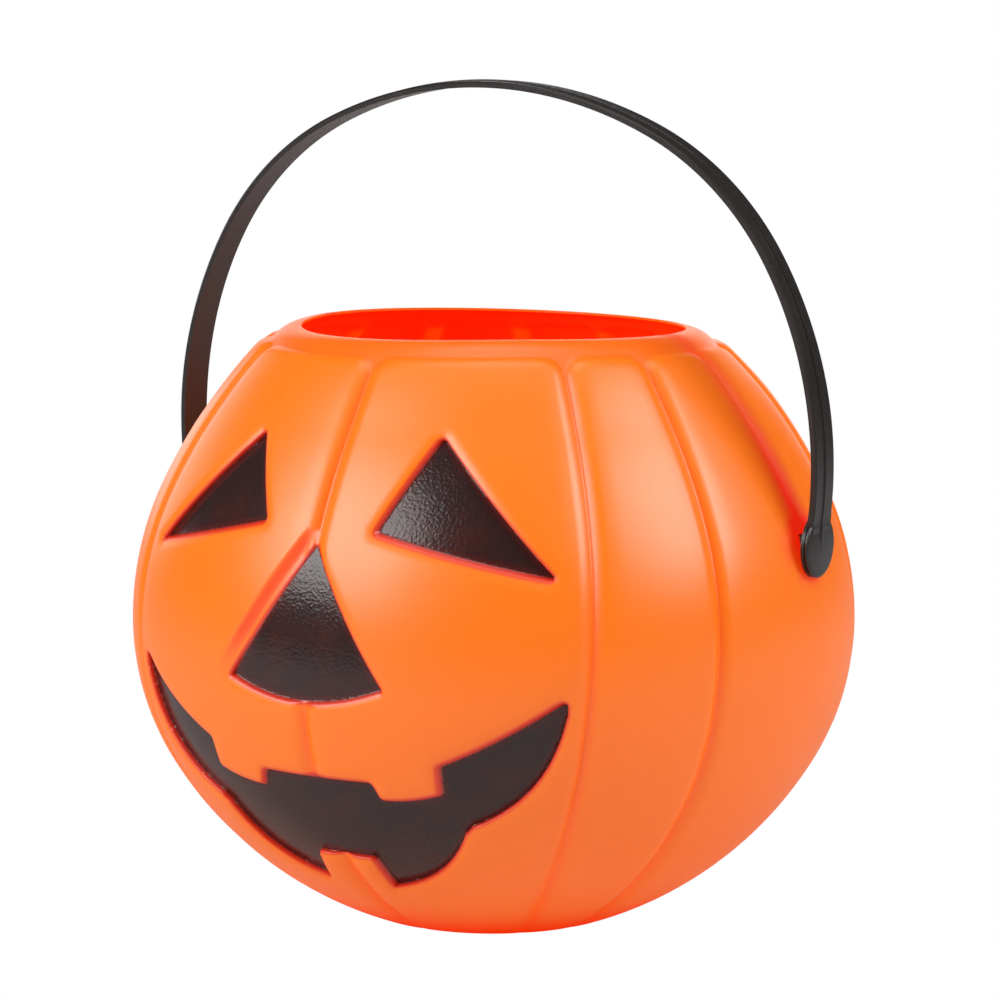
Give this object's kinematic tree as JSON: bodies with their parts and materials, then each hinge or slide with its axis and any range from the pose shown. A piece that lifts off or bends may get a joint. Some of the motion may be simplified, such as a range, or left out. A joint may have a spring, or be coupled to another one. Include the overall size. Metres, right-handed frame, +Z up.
{
  "type": "pumpkin candy pail",
  "caption": "Hollow blow-moulded jack-o'-lantern pail with a sunk painted face, an open top and a swinging strap handle, for carrying sweets.",
  "frame": {"origin": "middle of the standing ring, on the floor", "axes": "+Z up with the handle upright, the face looks along -Y, +X runs to the right as seen from the front"},
  "size_m": [0.2172, 0.2147, 0.2462],
  "materials": {
    "orange_plastic": "satin",
    "black_paint": "gloss",
    "black_plastic": "satin"
  },
  "bodies": {
    "pail": {"pumpkin_shell": "orange_plastic", "left_eye_paint": "black_paint", "right_eye_paint": "black_paint", "nose_paint": "black_paint", "mouth_paint": "black_paint"},
    "handle": {"strap_handle": "black_plastic"}
  },
  "joints": [
    {"name": "handle_swing", "type": "hinge", "parent": "pail", "child": "handle", "pos_m": [0, 0, 0.11719], "axis": [1, 0, 0], "range_deg": [-125, 125]}
  ]
}
